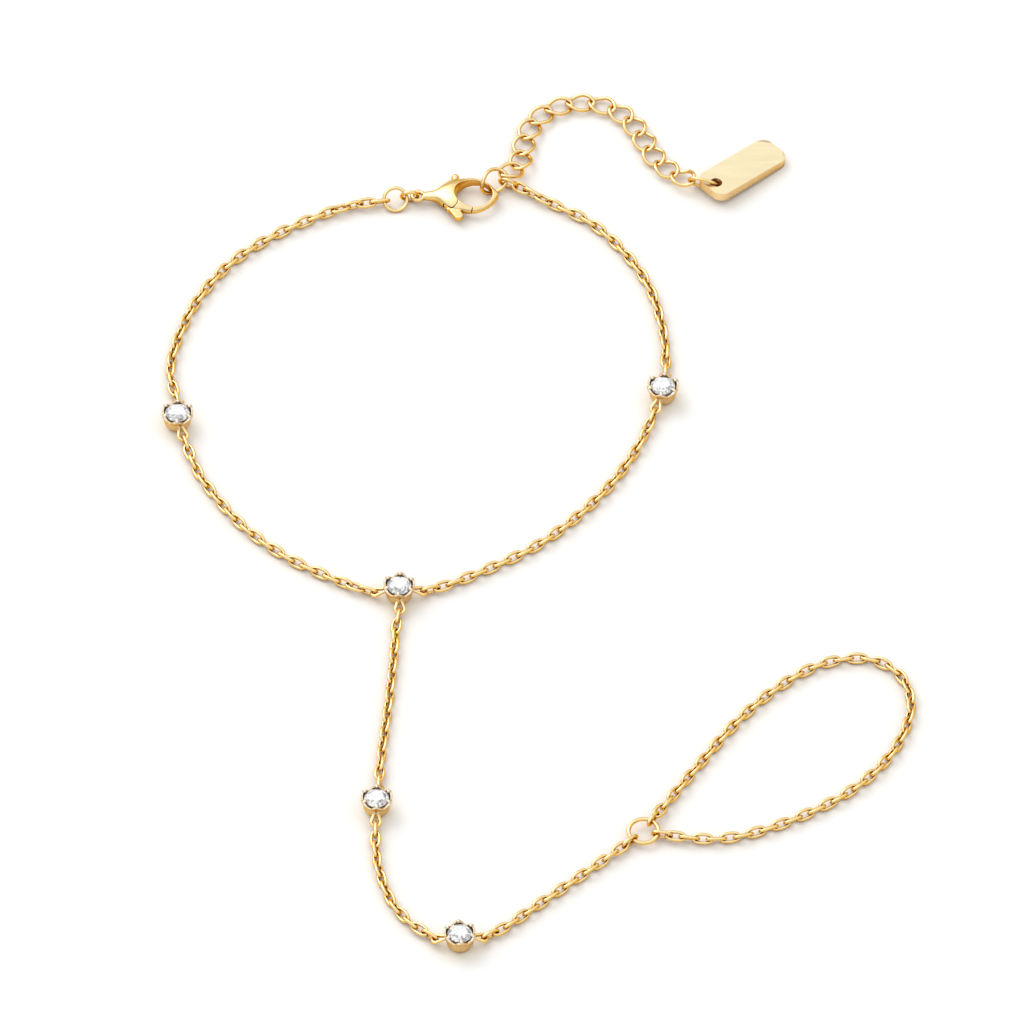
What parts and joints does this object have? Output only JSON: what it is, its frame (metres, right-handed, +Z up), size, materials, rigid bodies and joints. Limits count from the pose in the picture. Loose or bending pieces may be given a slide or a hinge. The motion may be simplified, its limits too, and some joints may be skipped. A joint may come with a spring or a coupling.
{
  "type": "hand chain bracelet",
  "caption": "Gold-toned hand chain: a fine wrist chain with clear stones in claw settings, lobster clasp, extender with a bare tag, and a chain to a finger loop.",
  "frame": {"origin": "middle of the bracelet's outline as it lies, on the surface it lies on", "axes": "+Z up from the surface; +Y from the finger loop's side towards the clasp and the extender; +X to the right, seen from above with the clasp at the far side"},
  "size_m": [0.0728, 0.1143, 0.0022],
  "materials": {
    "chain_gold": "polished gold plate",
    "clasp_gold": "polished gold plate",
    "tag_gold": "polished gold plate",
    "setting_gold": "polished gold plate",
    "stone": "clear cut stone"
  },
  "bodies": {
    "bracelet": {"clasp_body": "clasp_gold", "end_ring": "chain_gold", "eye_ring": "chain_gold", "extender_ring": "chain_gold", "finger_ring": "chain_gold", "tag_link": "chain_gold", "tag": "tag_gold", "wrist_chain_1": "chain_gold", "wrist_chain_2": "chain_gold", "wrist_chain_3": "chain_gold", "wrist_chain_4": "chain_gold", "hand_chain_1": "chain_gold", "hand_chain_2": "chain_gold", "hand_chain_3": "chain_gold", "finger_chain": "chain_gold", "extender_chain": "chain_gold", "setting_1": "setting_gold", "setting_2": "setting_gold", "setting_3": "setting_gold", "setting_4": "setting_gold", "setting_5": "setting_gold", "stone_1": "stone", "stone_2": "stone", "stone_3": "stone", "stone_4": "stone", "stone_5": "stone"},
    "clasp_lever": {"clasp_lever": "clasp_gold"}
  },
  "joints": [
    {"name": "clasp_lever_pivot", "type": "hinge", "parent": "bracelet", "child": "clasp_lever", "pos_m": [-0.00856, 0.04207, 0.00085], "axis": [0, 0, 1], "range_deg": [0, 20], "stiffness_Nm_per_rad": 0.00002}
  ]
}
